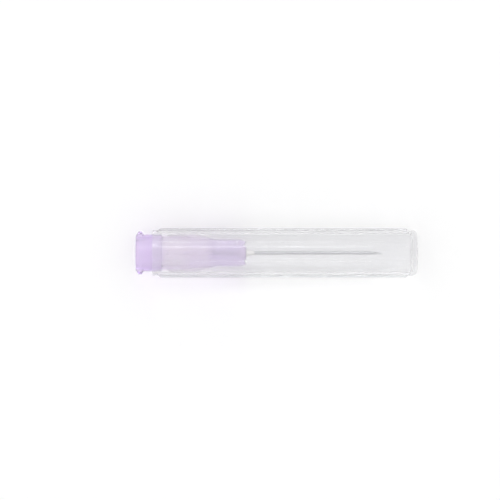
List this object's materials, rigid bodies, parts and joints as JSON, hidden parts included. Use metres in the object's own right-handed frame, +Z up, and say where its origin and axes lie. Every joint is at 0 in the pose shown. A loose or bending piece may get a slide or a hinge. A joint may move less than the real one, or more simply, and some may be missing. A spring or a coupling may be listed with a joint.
{
  "type": "hypodermic needle",
  "caption": "Capped hypodermic needle: steel cannula with a ground point in a tapered lock hub, under a closed, ribbed plastic cap.",
  "frame": {"origin": "under the middle of the capped needle, on the surface it lies on", "axes": "+X along the needle towards its point and the cap's closed end, +Z up, +Y completes a right-handed frame"},
  "size_m": [0.051, 0.009, 0.0089],
  "materials": {
    "hub": "translucent lilac polypropylene, smooth",
    "cannula": "drawn stainless tube, ground point",
    "adhesive": "clear cured epoxy, glossy",
    "cap": "translucent natural polypropylene, softly glossy"
  },
  "bodies": {
    "needle": {"hub": "hub", "cannula": "cannula", "adhesive": "adhesive"},
    "cap": {"cap": "cap"}
  },
  "joints": [
    {"name": "cap_slide", "type": "slide", "parent": "needle", "child": "cap", "axis": [1, 0, 0], "range_m": [0, 0.045]}
  ]
}
